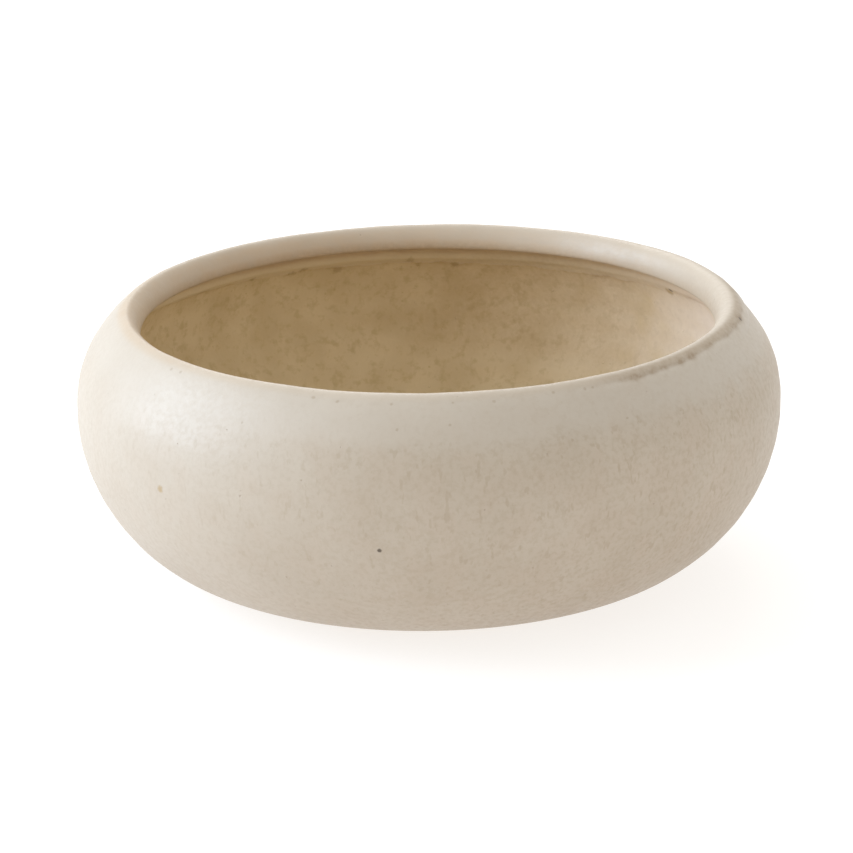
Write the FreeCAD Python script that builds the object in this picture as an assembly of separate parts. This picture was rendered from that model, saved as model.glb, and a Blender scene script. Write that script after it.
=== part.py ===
"""Round stoneware bonsai pot: a thrown bowl, its rolled rim, a foot ring, and the mesh screen
and wire clip that keep the soil in over the drain hole.

Millimetres, +Z up. The origin is the centre of the circle that the foot ring stands on.
"""
import FreeCAD
import Part

import math
import os

Vector = FreeCAD.Vector

# --- driving dimensions -------------------------------------------------------------------
# body of the pot
BELLY_RADIUS = 100.0
BASE_RADIUS = 60.6  # flat underside, before the wall turns up
FOOT_HEIGHT = 3.4
BELLY_HEIGHT = FOOT_HEIGHT + 46.0
POT_HEIGHT = FOOT_HEIGHT + 74.4
SHOULDER_RISE = 46.7  # how far the shoulder's curve would climb above the belly
LOWER_POWER = 1.89  # of the curve below the belly: 2 is an ellipse, more is squarer
SHOULDER_POWER = 2.36
ELLIPSE_POWER = 2.0
WALL = 6.5
FLOOR = 7.0
FLOOR_RADIUS = 54.0
WALL_CURVE_POINTS = 9  # in each quarter of the wall's curves
RIM_CURVE_POINTS = 7

# rolled rim
CREASE_RADIUS = 90.9  # where the rim stands on the shoulder, outside
RIM_TOP_RADIUS = 86.1
MOUTH_RADIUS = 81.3
LIP_DROP = 6.3  # from the rim's top to the widest point of its inner face
LIP_ROUNDING = 1.0
UNDERCUT = 3.8  # how far the rim overhangs the wall inside

# foot ring
FOOT_OUTER_RADIUS = 50.5
FOOT_INNER_RADIUS = 43.5
FOOT_ROUNDING = 1.0
NOTCH_COUNT = 3
NOTCH_WIDTH = 14.0
NOTCH_HEIGHT = 2.2
NOTCH_ROUNDING = 1.6
FIRST_NOTCH_ANGLE = 90.0

# holes in the floor
DRAIN_RADIUS = 11.0
DRAIN_ROUNDING = 1.2
TIE_HOLE_RADIUS = 2.5
TIE_HOLE_COUNT = 4
TIE_CIRCLE_RADIUS = 32.0

# mesh screen
MESH_PITCH = 3.2
MESH_STRAND = 0.8
MESH_HOLES = 13  # along each side
MESH_THICKNESS = 1.0
RESTING_GAP = 0.3  # between loose pieces that lie on each other

# wire clip
WIRE_RADIUS = 0.8
LEG_PITCHES = 3  # each leg goes through the mesh hole this many pitches from the middle
LEG_BOTTOM = 1.5  # above the surface that the pot stands on
LEG_BEND_RADIUS = 1.7
LOOP_REACH = 17.0
LOOP_SWING = 8.0
LOOP_BEND_RADIUS = 3.0

# --- derived levels -----------------------------------------------------------------------
FLOOR_TOP = FOOT_HEIGHT + FLOOR
LIP_LEVEL = POT_HEIGHT - LIP_DROP
SEAM_LEVEL = LIP_LEVEL - LIP_ROUNDING
SEAM_RADIUS = MOUTH_RADIUS + UNDERCUT
INNER_RADIUS = BELLY_RADIUS - WALL
SCREEN_BOTTOM = FLOOR_TOP + RESTING_GAP
SCREEN_SIDE = MESH_HOLES * MESH_PITCH + MESH_STRAND
LOOP_LEVEL = SCREEN_BOTTOM + MESH_THICKNESS + RESTING_GAP + WIRE_RADIUS
LEG_OFFSET = LEG_PITCHES * MESH_PITCH


# --- helpers ------------------------------------------------------------------------------
def section_point(radius, height):
    """A point of a turned section, which is drawn in the XZ plane."""
    return Vector(radius, 0, height)


def superellipse_point(center, reach, power, degrees):
    """A point of a superellipse about (radius, height): 0 degrees is outward, 90 is up."""
    angle = math.radians(degrees)
    across = math.copysign(abs(math.cos(angle)) ** (2 / power), math.cos(angle))
    up = math.copysign(abs(math.sin(angle)) ** (2 / power), math.sin(angle))
    # at the quarter turns the small power above would blow a rounding error up
    across, up = round(across, 9), round(up, 9)
    return section_point(center[0] + reach[0] * across, center[1] + reach[1] * up)


def superellipse_points(center, reach, power, start, end, count):
    """Evenly turned points of a superellipse, from one angle to another in degrees."""
    turns = [start + (end - start) * step / (count - 1) for step in range(count)]
    return [superellipse_point(center, reach, power, turn) for turn in turns]


def shoulder_angle(radius, belly_radius):
    """The angle, in degrees, at which the shoulder's superellipse has come in to this radius."""
    return math.degrees(math.acos((radius / belly_radius) ** (SHOULDER_POWER / 2)))


def curve_through(points):
    """A smooth edge through the points."""
    curve = Part.BSplineCurve()
    curve.interpolate(points)
    return curve.toShape()


def rounded_path(points, radii):
    """Edges along the points, with a tangent arc of the given radius at each inner one."""
    edges = []
    start = points[0]
    for before, corner, after, radius in zip(points, points[1:], points[2:], radii):
        back = (before - corner).normalize()
        ahead = (after - corner).normalize()
        half_angle = back.getAngle(ahead) / 2
        trim = radius / math.tan(half_angle)
        arc_start = corner + back * trim
        arc_end = corner + ahead * trim
        arc_middle = corner + (back + ahead).normalize() * (radius / math.sin(half_angle) - radius)
        edges.append(Part.makeLine(start, arc_start))
        edges.append(Part.Arc(arc_start, arc_middle, arc_end).toShape())
        start = arc_end
    edges.append(Part.makeLine(start, points[-1]))
    return edges


def turned(edges):
    """The solid that a closed section makes when it turns about Z."""
    section = Part.Face(Part.Wire(Part.__sortEdges__(edges)))
    return section.revolve(Vector(0, 0, 0), Vector(0, 0, 1), 360)


def upright_hole(radius, x, y):
    """A cylinder that runs right through the pot's floor."""
    return Part.makeCylinder(radius, POT_HEIGHT, Vector(x, y, 0))


# --- the pot ------------------------------------------------------------------------------
def crease_point():
    """Where the shoulder's curve meets the rim, outside."""
    angle = shoulder_angle(CREASE_RADIUS, BELLY_RADIUS)
    return superellipse_point((0, BELLY_HEIGHT), (BELLY_RADIUS, SHOULDER_RISE), SHOULDER_POWER, angle)


def seam_point():
    """Where the inner wall meets the underside of the rim."""
    return section_point(SEAM_RADIUS, SEAM_LEVEL)


def wall_curve(base_radius, base_height, belly_radius, shoulder_rise, top_radius):
    """One face of the wall: from the flat of the floor, out round the belly and up to the rim."""
    lower = superellipse_points(
        (base_radius, BELLY_HEIGHT),
        (belly_radius - base_radius, BELLY_HEIGHT - base_height),
        LOWER_POWER,
        -90,
        0,
        WALL_CURVE_POINTS,
    )
    upper = superellipse_points(
        (0, BELLY_HEIGHT),
        (belly_radius, shoulder_rise),
        SHOULDER_POWER,
        0,
        shoulder_angle(top_radius, belly_radius),
        WALL_CURVE_POINTS,
    )
    return curve_through(lower + upper[1:])


def floor_holes():
    """The drain hole with softened edges, and the holes for the wires that tie a tree in."""
    holes = [upright_hole(DRAIN_RADIUS, 0, 0)]
    wide = DRAIN_RADIUS + DRAIN_ROUNDING
    for level, slope in ((FLOOR_TOP, 1), (FOOT_HEIGHT, -1)):
        mouth = Part.makeCone(DRAIN_RADIUS, wide, DRAIN_ROUNDING, Vector(0, 0, 0), Vector(0, 0, slope))
        mouth.translate(Vector(0, 0, level - slope * DRAIN_ROUNDING))
        holes.append(mouth)
    for index in range(TIE_HOLE_COUNT):
        angle = 2 * math.pi * index / TIE_HOLE_COUNT
        x = TIE_CIRCLE_RADIUS * math.cos(angle)
        y = TIE_CIRCLE_RADIUS * math.sin(angle)
        holes.append(upright_hole(TIE_HOLE_RADIUS, x, y))
    return holes


def make_bowl():
    """Wall and floor: thrown as one piece, with its top cut to the rim's seam."""
    outer = wall_curve(BASE_RADIUS, FOOT_HEIGHT, BELLY_RADIUS, SHOULDER_RISE, CREASE_RADIUS)
    seam_fraction = (SEAM_RADIUS / INNER_RADIUS) ** SHOULDER_POWER
    inner_rise = (SEAM_LEVEL - BELLY_HEIGHT) / (1 - seam_fraction) ** (1 / SHOULDER_POWER)
    inner = wall_curve(FLOOR_RADIUS, FLOOR_TOP, INNER_RADIUS, inner_rise, SEAM_RADIUS)
    floor_center = section_point(0, FLOOR_TOP)
    base_center = section_point(0, FOOT_HEIGHT)
    solid = turned([
        Part.makeLine(base_center, section_point(BASE_RADIUS, FOOT_HEIGHT)),
        outer,
        Part.makeLine(crease_point(), seam_point()),
        inner,
        Part.makeLine(section_point(FLOOR_RADIUS, FLOOR_TOP), floor_center),
        Part.makeLine(floor_center, base_center),
    ])
    return solid.cut(floor_holes())


def make_rim_ring():
    """The rolled rim: a full round of clay that stands on the seam and overhangs the wall inside."""
    crease = crease_point()
    outer_face = superellipse_points(
        (RIM_TOP_RADIUS, crease.z),
        (crease.x - RIM_TOP_RADIUS, POT_HEIGHT - crease.z),
        ELLIPSE_POWER,
        0,
        90,
        RIM_CURVE_POINTS,
    )
    inner_face = superellipse_points(
        (RIM_TOP_RADIUS, LIP_LEVEL),
        (RIM_TOP_RADIUS - MOUTH_RADIUS, LIP_DROP),
        ELLIPSE_POWER,
        90,
        180,
        RIM_CURVE_POINTS,
    )
    lip = inner_face[-1]
    underside_end = section_point(MOUTH_RADIUS + LIP_ROUNDING, SEAM_LEVEL)
    inset = LIP_ROUNDING * (1 - math.sqrt(0.5))
    lip_middle = section_point(MOUTH_RADIUS + inset, SEAM_LEVEL + inset)
    return turned([
        curve_through(outer_face + inner_face[1:]),
        Part.Arc(lip, lip_middle, underside_end).toShape(),
        Part.makeLine(underside_end, seam_point()),
        Part.makeLine(seam_point(), crease),
    ])


def foot_notch(angle):
    """One drainage notch, as a solid that lies radially across the foot ring."""
    half = NOTCH_WIDTH / 2
    reach = FOOT_OUTER_RADIUS - FOOT_INNER_RADIUS
    start = FOOT_INNER_RADIUS - reach
    arch = rounded_path(
        [
            Vector(start, -half, -NOTCH_HEIGHT),
            Vector(start, -half, NOTCH_HEIGHT),
            Vector(start, half, NOTCH_HEIGHT),
            Vector(start, half, -NOTCH_HEIGHT),
        ],
        [NOTCH_ROUNDING, NOTCH_ROUNDING],
    )
    arch.append(Part.makeLine(Vector(start, half, -NOTCH_HEIGHT), Vector(start, -half, -NOTCH_HEIGHT)))
    notch = Part.Face(Part.Wire(arch)).extrude(Vector(3 * reach, 0, 0))
    notch.rotate(Vector(0, 0, 0), Vector(0, 0, 1), angle)
    return notch


def make_foot_ring():
    """The bare ring that the pot stands on, notched so that water can run out from under it."""
    corners = [
        section_point(FOOT_INNER_RADIUS, FOOT_HEIGHT),
        section_point(FOOT_INNER_RADIUS, 0),
        section_point(FOOT_OUTER_RADIUS, 0),
        section_point(FOOT_OUTER_RADIUS, FOOT_HEIGHT),
    ]
    section = rounded_path(corners, [FOOT_ROUNDING, FOOT_ROUNDING])
    section.append(Part.makeLine(corners[-1], corners[0]))
    notches = [foot_notch(FIRST_NOTCH_ANGLE + 360 * index / NOTCH_COUNT) for index in range(NOTCH_COUNT)]
    return turned(section).cut(notches)


# --- the loose pieces ---------------------------------------------------------------------
def square_wire(side, x, y):
    """A square in the XY plane, about its centre."""
    half = side / 2
    corners = [Vector(x - half, y - half), Vector(x + half, y - half),
               Vector(x + half, y + half), Vector(x - half, y + half)]
    return Part.makePolygon(corners + corners[:1])


def make_drain_screen():
    """A square of plastic mesh, cut to lie over the drain hole."""
    middle = (MESH_HOLES - 1) / 2
    centers = [(index - middle) * MESH_PITCH for index in range(MESH_HOLES)]
    holes = [square_wire(MESH_PITCH - MESH_STRAND, x, y) for x in centers for y in centers]
    sheet = Part.makeFace([square_wire(SCREEN_SIDE, 0, 0)] + holes, "Part::FaceMakerBullseye")
    mesh = sheet.extrude(Vector(0, 0, MESH_THICKNESS))
    mesh.translate(Vector(0, 0, SCREEN_BOTTOM))
    return mesh


def make_screen_clip():
    """One bent wire: an S of two loops on the mesh, and two legs down through it and the drain."""
    half_path = [
        Vector(-LEG_OFFSET, 0, LEG_BOTTOM),
        Vector(-LEG_OFFSET, 0, LOOP_LEVEL),
        Vector(-LOOP_REACH, 0, LOOP_LEVEL),
        Vector(-LOOP_REACH, LOOP_SWING, LOOP_LEVEL),
    ]
    other_half = [Vector(-point.x, -point.y, point.z) for point in reversed(half_path)]
    half_radii = [LEG_BEND_RADIUS, LOOP_BEND_RADIUS, LOOP_BEND_RADIUS]
    path = Part.Wire(rounded_path(half_path + other_half, half_radii + half_radii[::-1]))
    cut_end = Part.Wire(Part.makeCircle(WIRE_RADIUS, half_path[0], Vector(0, 0, 1)))
    return path.makePipeShell([cut_end], True, False)


PIECES = {
    "bowl": make_bowl,
    "rim_ring": make_rim_ring,
    "foot_ring": make_foot_ring,
    "drain_screen": make_drain_screen,
    "screen_clip": make_screen_clip,
}


def main():
    os.makedirs("parts", exist_ok=True)
    for name, make in PIECES.items():
        shape = make()
        solids = shape.Solids
        if len(solids) != 1 or not shape.isValid():
            raise ValueError(f"{name}: {len(solids)} solids, valid {shape.isValid()}")
        solids[0].exportStep(f"parts/{name}.step")
        print(f"{name}: {solids[0].Volume / 1000:.2f} cm3")


main()
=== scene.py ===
"""A round stoneware bonsai pot: cream satin glaze outside, bare tan clay inside, a rolled rim,
a notched foot ring, and a plastic mesh with a wire clip over the drain hole.

Shapes are worked out in millimetres, from the frame's own boxes and the dimensions below, and made
in metres.
Angles run about +Z from +X; the camera looks along +Y, so -90 degrees is the front.
"""

import math

import bmesh
import bpy
import numpy as np
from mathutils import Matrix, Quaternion, Vector, noise


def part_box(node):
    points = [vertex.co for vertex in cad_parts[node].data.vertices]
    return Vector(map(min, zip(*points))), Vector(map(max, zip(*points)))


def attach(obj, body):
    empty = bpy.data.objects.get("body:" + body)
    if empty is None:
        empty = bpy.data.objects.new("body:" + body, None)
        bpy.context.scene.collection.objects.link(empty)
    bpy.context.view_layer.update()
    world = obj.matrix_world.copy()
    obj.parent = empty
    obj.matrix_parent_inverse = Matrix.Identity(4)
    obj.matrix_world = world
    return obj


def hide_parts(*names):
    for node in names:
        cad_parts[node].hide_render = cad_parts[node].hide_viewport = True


MM = 0.001

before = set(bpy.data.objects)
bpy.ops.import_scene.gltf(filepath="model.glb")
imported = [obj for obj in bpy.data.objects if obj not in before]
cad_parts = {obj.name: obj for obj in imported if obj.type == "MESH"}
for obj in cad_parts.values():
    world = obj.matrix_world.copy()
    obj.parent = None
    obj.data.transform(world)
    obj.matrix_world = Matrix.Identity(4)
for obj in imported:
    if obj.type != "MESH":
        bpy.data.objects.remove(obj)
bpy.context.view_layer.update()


def box_mm(node):
    """The low and high corners of a CAD node's box, in millimetres."""
    low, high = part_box(node)
    return [value / MM for value in low], [value / MM for value in high]


bowl_low, bowl_high = box_mm("bowl")
rim_low, rim_high = box_mm("rim_ring")
foot_high = box_mm("foot_ring")[1]
screen_low, screen_high = box_mm("drain_screen")
clip_low, clip_high = box_mm("screen_clip")

# --- the pot's curves: the frame's boxes, and the CAD's own driving dimensions ---
BELLY_RADIUS = bowl_high[0]
FOOT_HEIGHT = bowl_low[2]
BELLY_RISE = 46.0
BELLY_HEIGHT = FOOT_HEIGHT + BELLY_RISE
POT_HEIGHT = rim_high[2]
BASE_RADIUS = 60.6
SHOULDER_RISE = 46.7
LOWER_POWER = 1.89
SHOULDER_POWER = 2.36
ELLIPSE_POWER = 2.0
WALL_THICKNESS = 6.5
INNER_RADIUS = BELLY_RADIUS - WALL_THICKNESS
FLOOR_THICKNESS = 7.0
FLOOR_TOP = FOOT_HEIGHT + FLOOR_THICKNESS
FLOOR_RADIUS = 54.0
CREASE_RADIUS = rim_high[0]
CREASE_LEVEL = bowl_high[2]
RIM_TOP_RADIUS = 86.1
MOUTH_RADIUS = 81.3
LIP_ROUNDING = 1.0
SEAM_LEVEL = rim_low[2]
SEAM_WIDTH = 3.8
SEAM_RADIUS = MOUTH_RADIUS + SEAM_WIDTH
LIP_LEVEL = SEAM_LEVEL + LIP_ROUNDING
DRAIN_RADIUS = 11.0
DRAIN_ROUNDING = 1.2
TIE_HOLE_RADIUS = 2.5
TIE_HOLE_COUNT = 4
TIE_HOLE_ROUNDING = 0.8
TIE_CIRCLE_RADIUS = 32.0
FOOT_OUTER_RADIUS = foot_high[0]
FOOT_WIDTH = 7.0
FOOT_INNER_RADIUS = FOOT_OUTER_RADIUS - FOOT_WIDTH
FOOT_ROUNDING = 1.0
NOTCH_COUNT = 3
NOTCH_WIDTH = 14.0
NOTCH_HEIGHT = 2.2
NOTCH_SOFTNESS = 1.6
FIRST_NOTCH_ANGLE = 90.0
FOOT_WEAR = ((0.10, 4.0, 8),)  # height, size and seed

# --- mesh fineness ---
BOWL_SEGMENTS = 384
RIM_SEGMENTS = 640
FOOT_SEGMENTS = 720
SHARP_ANGLE = 50.0
COARSE = 1.6
MEDIUM = 1.2
FINE = 0.45
FINE_MARGIN = 1.0  # how far the fine rows reach below the smoothed part outside
FINE_DEPTH = 4.0  # and below the glaze line inside
CURVE_POINTS = 160
BEZIER_POINTS = 400
ARC_POINTS = 12
CUTTER_ARC_POINTS = 7
LIP_ARC_POINTS = 10

# --- marks of the hand, in millimetres ---
GLAZE_LINE = 64.3  # height at which the glaze stops inside
GLAZE_THICKNESS = 0.28
BEAD_LEVEL = 66.6  # the smoothed clay where the rim was joined, inside
BEAD_HEIGHT = 0.6
BEAD_WIDTH = 1.2
MERGE_START = 66.0  # height from which the shoulder was smoothed up into the rim
MERGE_HANDLE = 4.4
MERGED_TOP_RADIUS = 85.0
RIDGED_TOP_RADIUS = 85.6
CREST_HANDLE = 2.6
RIDGED_CREST_HANDLE = CREST_HANDLE * 0.8
RIDGE_HANDLE = 1.8
RIDGE_LEAN = 0.2
BEVEL_POWER = 1.6  # how nearly flat the rim slopes down to its lip, where it is flattest
ROUND_POWER = 2.1  # and where it is roundest
EDGE_LEVEL = 76.1  # height of the rim's outer edge, along which the glaze breaks
CREASE_SIDE = 15.0  # the angle round which the rim's crease was left
CREASE_ENDS = (18.0, 44.0)  # degrees from it at which the smoothing starts and is whole
LEAST_MERGE = 0.05
UNDER_GLAZE_RADIUS = 57.6  # radius at which the glaze stops underneath
MOTTLED_BELOW = 67.0  # height under which the glaze outside is thinner and more mottled
FULLY_GLAZED = 5.0
FULLY_BARE = -5.0
SHARE_FIELDS = ("brown", "thin", "lit_wall_paint", "stain_and_shade", "shoulder", "mottled")


# --- small helpers ---
def superellipse(center, reach, power, start, end, count=CURVE_POINTS):
    """Points (radius, height) of a superellipse, between two angles in degrees."""
    angles = np.radians(np.linspace(start, end, count))
    across, up = np.cos(angles), np.sin(angles)
    across = np.sign(across) * np.abs(across) ** (2 / power)
    up = np.sign(up) * np.abs(up) ** (2 / power)
    return np.stack([center[0] + reach[0] * across, center[1] + reach[1] * up], axis=1)


def quarter(center, radius, start, count=ARC_POINTS):
    """A quarter of a circle, from one angle in degrees."""
    return superellipse(center, (radius, radius), ELLIPSE_POWER, start, start + 90, count)


def shoulder_angle(radius, belly_radius):
    """The angle at which the shoulder's curve has this radius."""
    return math.degrees(math.acos((radius / belly_radius) ** (SHOULDER_POWER / 2)))


def line(start, end):
    return np.array([start, end], dtype=float)


def bezier(corners, count=BEZIER_POINTS):
    """Points of the cubic curve with these four control points."""
    share = np.linspace(0, 1, count)[:, None]
    rest = 1 - share
    start, first, second, end = (np.array(corner, dtype=float) for corner in corners)
    return rest**3 * start + 3 * rest**2 * share * first + 3 * rest * share**2 * second + share**3 * end


def resample(points, spacing):
    """Points about `spacing` apart along a polyline, with both ends kept."""
    along = np.concatenate([[0], np.cumsum(np.hypot(*np.diff(points, axis=0).T))])
    at = np.linspace(0, along[-1], max(2, round(along[-1] / spacing) + 1))
    return np.stack([np.interp(at, along, points[:, axis]) for axis in (0, 1)], axis=1)


def smooth_step(values, low, high):
    """0 up to low, 1 from high, and an S between them."""
    share = np.clip((values - low) / (high - low), 0, 1)
    return share * share * (3 - 2 * share)


def turned_from(degrees, center):
    """Angles counted from a center, between -180 and 180 degrees."""
    return (degrees - center + 180) % 360 - 180


def bell(away, width):
    """1 where away is 0, fading to 0 over about the width to either side."""
    return np.exp(-((away / width) ** 2))


def lobe(degrees, center, width):
    """1 at an angle round the pot, fading to 0 over about its width."""
    return bell(turned_from(degrees, center), width)


def around(degrees, everywhere, extra, center, width):
    """A strength that goes from everywhere's to that and the extra, at the center angle."""
    return everywhere + extra * lobe(degrees, center, width)


def tinted(degrees, height, everywhere, extra, center, width, start, end):
    """A strength round the pot that also grows from nothing between two heights."""
    return around(degrees, everywhere, extra, center, width) * smooth_step(height, start, end)


def wobble(degrees, waves, seed):
    """A smooth closed random curve round the pot, between about -1 and 1."""
    random = np.random.default_rng(seed)
    total = np.zeros_like(degrees, dtype=float)
    for wave in waves:
        total += random.uniform(0.5, 1) * np.sin(np.radians(wave * degrees + random.uniform(0, 360)))
    return total / math.sqrt(len(waves))


NOISE_STEPS = (17.3, 9.1, 5.7)  # what one more in the seed adds to each place


def noise_at(points, feature, seed):
    """Smooth noise, about -1 to 1, at points in millimetres; feature is the size of its lumps."""
    shift = Vector([seed * step for step in NOISE_STEPS])
    flat = points.reshape(-1, 3) / feature
    values = [noise.noise(Vector(point) + shift) for point in flat]
    return np.array(values).reshape(points.shape[:-1])


def lumps(points, layers):
    """The sum of some layers of noise, each with a height, a size and a seed."""
    return sum(height * noise_at(points, size, seed) for height, size, seed in layers)


class Section:
    """A closed section to be turned about Z: its points, and the stretch that each belongs to."""

    def __init__(self):
        self.points = []
        self.stretches = []

    def add(self, name, points, spacing):
        """Adds a stretch that starts where the last one ended, without repeating that point."""
        fine = resample(points, spacing)[:-1]
        self.points.extend(fine)
        self.stretches.extend([name] * len(fine))

    def grid(self, segments):
        """Radius, height and angle of every point of the turned shape, one row for each point."""
        degrees = np.arange(segments) * 360 / segments
        points = np.array(self.points)
        ones = np.ones(segments)
        radius, height = np.outer(points[:, 0], ones), np.outer(points[:, 1], ones)
        return radius, height, np.outer(np.ones(len(points)), degrees)

    def normals(self):
        """Across and up, for each point: square to the section, on its left as it runs."""
        points = np.array(self.points)
        ahead = np.roll(points, -1, axis=0) - np.roll(points, 1, axis=0)
        ahead /= np.hypot(*ahead.T)[:, None]
        return np.stack([ahead[:, 1], -ahead[:, 0]], axis=1)

    def rows(self, name):
        """Which of the section's points are in the stretches with this name."""
        return np.array([stretch == name for stretch in self.stretches])


def grid_points(radius, height, degrees):
    """Places in space, from their radius, height and angle."""
    turn = np.radians(degrees)
    return np.stack([radius * np.cos(turn), radius * np.sin(turn), height], axis=-1)


def new_object(name, vertices, faces, material, smooth=True):
    """A mesh object from points in millimetres."""
    mesh = bpy.data.meshes.new(name)
    mesh.from_pydata((np.asarray(vertices) * MM).tolist(), [], faces)
    mesh.materials.append(material)
    mesh.update()
    shaped = bmesh.new()
    shaped.from_mesh(mesh)
    bmesh.ops.recalc_face_normals(shaped, faces=shaped.faces)
    shaped.to_mesh(mesh)
    shaped.free()
    mesh.polygons.foreach_set("use_smooth", [smooth] * len(mesh.polygons))
    mesh.set_sharp_from_angle(angle=math.radians(SHARP_ANGLE))
    made = bpy.data.objects.new(name, mesh)
    bpy.context.scene.collection.objects.link(made)
    return made


def closed_grid_faces(rows, columns):
    """Quads of a grid that closes on itself both ways."""
    faces = []
    for row in range(rows):
        below, above = row * columns, (row + 1) % rows * columns
        for column in range(columns):
            beside = (column + 1) % columns
            faces.append((below + column, below + beside, above + beside, above + column))
    return faces


def shifted_faces(faces, first):
    """The faces, with every index raised by first."""
    return [tuple(first + index for index in face) for face in faces]


def add_field(made, name, values):
    """A number at each vertex, for the material to read."""
    field = made.data.attributes.new(name, "FLOAT", "POINT")
    field.data.foreach_set("value", np.asarray(values, dtype=float).ravel())


def blank_fields(shape, glaze):
    """The fields that the pot's material reads, with no marks yet."""
    fields = {name: np.zeros(shape) for name in SHARE_FIELDS}
    fields["glaze_mm"] = np.full(shape, glaze)
    return fields


def turned_object(name, radius, height, degrees, material, fields):
    """An object from the grid of a turned shape, with the fields that its material reads."""
    points = grid_points(radius, height, degrees)
    made = new_object(name, points.reshape(-1, 3), closed_grid_faces(*radius.shape), material)
    for field, values in fields.items():
        add_field(made, field, values)
    return made


# --- shader nodes ---
SMALLEST_DOT = 0.4  # size of the smallest dot, as a share of the largest
DOT_CORE = 0.45  # share of a dot's radius that has its full strength
SPOT_CORE = 0.35  # and of a single spot's


class Graph:
    """The shader nodes of one material, added by short calls that return sockets."""

    def __init__(self, name):
        self.material = bpy.data.materials.new(name)
        self.material.use_nodes = True
        self.tree = self.material.node_tree
        self.tree.nodes.clear()
        self.place = self.add("TexCoord").outputs["Object"]

    def add(self, kind, inputs=None, **settings):
        node = self.tree.nodes.new("ShaderNode" + kind)
        for key, value in settings.items():
            setattr(node, key, value)
        for key, value in (inputs or {}).items():
            if isinstance(value, bpy.types.NodeSocket):
                self.tree.links.new(value, node.inputs[key])
            else:
                node.inputs[key].default_value = value
        return node

    def stretched(self, share):
        """Places squeezed in height, so that what is made from them comes out taller."""
        return self.add("Mapping", {"Vector": self.place, "Scale": (1.0, 1.0, share)}).outputs[0]

    def math(self, operation, first, second=0.0, clamp=False):
        node = self.add("Math", {0: first, 1: second}, operation=operation, use_clamp=clamp)
        return node.outputs[0]

    def product(self, *factors):
        result = factors[0]
        for factor in factors[1:]:
            result = self.math("MULTIPLY", result, factor)
        return result

    def either(self, *masks):
        """The larger of several masks."""
        result = masks[0]
        for mask in masks[1:]:
            result = self.math("MAXIMUM", result, mask)
        return result

    def ramp(self, value, low, high, to_low=0.0, to_high=1.0):
        inputs = {"Value": value, "From Min": low, "From Max": high, "To Min": to_low, "To Max": to_high}
        return self.add("MapRange", inputs, interpolation_type="SMOOTHSTEP").outputs["Result"]

    def field(self, name):
        return self.add("Attribute", attribute_name=name).outputs["Fac"]

    def noise(self, feature, detail=2.0, roughness=0.5, place=None):
        """Noise from 0 to 1; feature is the size of its lumps in millimetres."""
        inputs = {
            "Vector": place or self.place,
            "Scale": 1 / (feature * MM),
            "Detail": detail,
            "Roughness": roughness,
        }
        return self.add("TexNoise", inputs, noise_dimensions="3D").outputs[0]

    def dots(self, spacing, largest, share, place=None):
        """Round spots: 1 in the middle, 0 outside. Only a share of the cells has one."""
        cells = self.add("TexVoronoi", {"Vector": place or self.place, "Scale": 1 / (spacing * MM)})
        chance = self.add("SeparateColor", {0: cells.outputs["Color"]})
        present = self.math("LESS_THAN", chance.outputs[0], share)
        radius = self.math("MULTIPLY_ADD", chance.outputs[1], (1 - SMALLEST_DOT) * largest / spacing)
        radius.node.inputs[2].default_value = SMALLEST_DOT * largest / spacing
        share_out = self.math("DIVIDE", cells.outputs["Distance"], radius)
        return self.product(present, self.ramp(share_out, 1.0, DOT_CORE))

    def mix(self, share, first, second):
        node = self.add("Mix", {0: share}, data_type="RGBA")
        for key, value in ((6, first), (7, second)):
            if isinstance(value, bpy.types.NodeSocket):
                self.tree.links.new(value, node.inputs[key])
            else:
                node.inputs[key].default_value = (*value, 1.0)
        return node.outputs[2]

    def tint(self, color, paint, strength, *masks):
        """The color, painted over where all the masks are high."""
        return self.mix(self.product(*masks, strength), color, paint)

    def bump(self, height, depth, below=None):
        """A normal from a height of 0 to 1; depth is in millimetres."""
        inputs = {"Height": height, "Distance": depth * MM, "Strength": 1.0}
        if below is not None:
            inputs["Normal"] = below
        return self.add("Bump", inputs).outputs[0]

    def finish(self, color, roughness, normal, **constants):
        inputs = {"Base Color": color, "Roughness": roughness, "Normal": normal}
        inputs.update({key.replace("_", " "): value for key, value in constants.items()})
        surface = self.add("BsdfPrincipled", inputs)
        output = self.add("OutputMaterial")
        self.tree.links.new(surface.outputs[0], output.inputs[0])
        return self.material


# --- materials ---
CREAM = (0.452, 0.378, 0.296)
PALE_CREAM = (0.475, 0.402, 0.320)
# painted light: a cooler, paler cream for the sky's reflection on the shoulder and for the key light on the
# left side
COOL_LIGHT_CREAM = (0.487, 0.430, 0.363)
PINK_CREAM = (0.462, 0.372, 0.288)
THIN_CREAM = (0.365, 0.288, 0.203)
CLAY = (0.555, 0.428, 0.248)
PALE_CLAY = (0.625, 0.495, 0.305)
DARK_CLAY = (0.43, 0.318, 0.158)
# painted light: the pale cream painted on the inner wall where the key light falls
LIT_WALL_PALE = (0.71, 0.612, 0.54)
VEILED_CLAY = (0.63, 0.515, 0.34)
TOASTED = (0.30, 0.17, 0.08)
IRON = (0.055, 0.035, 0.02)
# brown for the glaze's breaks, pinholes and specks, and for painted shade
BREAK_AND_SHADE_BROWN = (0.27, 0.190, 0.115)
# a warm brown for stains, which under the rim is also painted shade
WARM_STAIN_AND_SHADE = (0.495, 0.362, 0.24)
BLEMISH = (0.36, 0.245, 0.11)
LINE_BROWN = (0.30, 0.205, 0.09)
PLASTIC_BLACK = (0.012, 0.012, 0.013)
DUST = (0.10, 0.085, 0.065)
DULL_WIRE = (0.60, 0.60, 0.61)
BRIGHT_WIRE = (0.78, 0.78, 0.79)

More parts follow.
